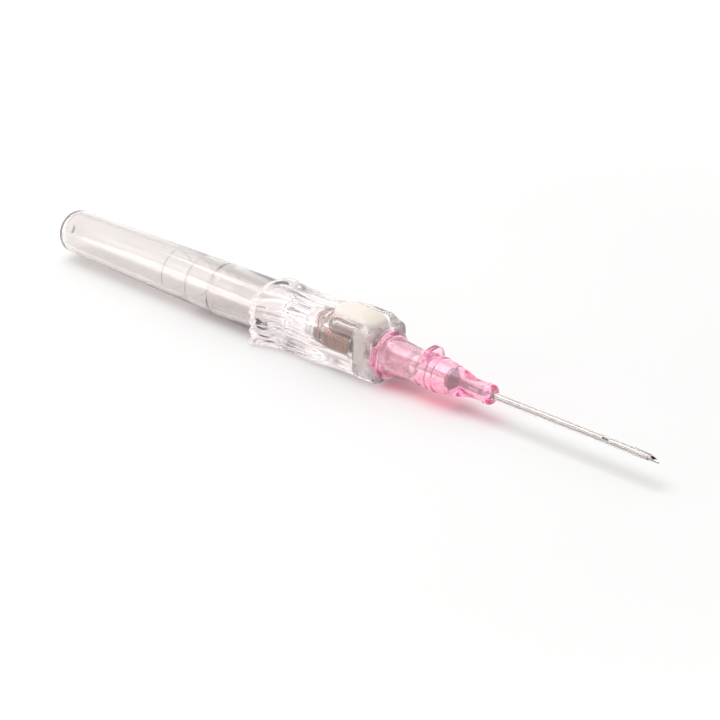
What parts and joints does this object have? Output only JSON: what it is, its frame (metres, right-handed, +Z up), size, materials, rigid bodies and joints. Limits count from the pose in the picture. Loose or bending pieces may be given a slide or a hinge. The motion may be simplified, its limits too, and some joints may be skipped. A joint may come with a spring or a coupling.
{
  "type": "iv cannula",
  "caption": "Over-the-needle intravenous cannula with a clear barrel and grip, a thumb button that releases a spring-retracted needle, and a pink catheter hub with two lugs and a push tab.",
  "frame": {"origin": "on the surface it rests on, midway between the barrel's rear end and the needle's point", "axes": "+X along the needle towards its point, +Z up through the button, +Y to the left of someone who looks along the needle"},
  "size_m": [0.1045, 0.0092, 0.0088],
  "materials": {
    "barrel_clear": "clear polished moulding",
    "grip_clear": "clear polished moulding",
    "button_white": "warm white satin moulding",
    "spring_steel": "drawn spring wire",
    "carriage_clear": "clear polished moulding",
    "plug_white": "porous sintered",
    "adhesive_clear": "cured clear bead",
    "needle_steel": "ground and polished tube",
    "hub_pink": "translucent pink moulding",
    "ferrule_steel": "pressed thin steel",
    "catheter_clear": "clear extruded tube"
  },
  "bodies": {
    "housing": {"barrel": "barrel_clear", "grip": "grip_clear", "retraction_spring": "spring_steel"},
    "button": {"release_button": "button_white"},
    "needle_assembly": {"needle_carriage": "carriage_clear", "vent_plug": "plug_white", "needle_adhesive": "adhesive_clear", "needle": "needle_steel"},
    "catheter": {"catheter_hub": "hub_pink", "wedge_ferrule": "ferrule_steel", "catheter_tube": "catheter_clear"}
  },
  "joints": [
    {"name": "button_press", "type": "slide", "parent": "housing", "child": "button", "axis": [0, 0, -1], "range_m": [0, 0.0011]},
    {"name": "needle_retraction", "type": "slide", "parent": "housing", "child": "needle_assembly", "axis": [-1, 0, 0], "range_m": [0, 0.04565], "deforming": ["retraction_spring"]},
    {"name": "catheter_advance", "type": "slide", "parent": "housing", "child": "catheter", "axis": [1, 0, 0], "range_m": [0, 0.05]}
  ]
}
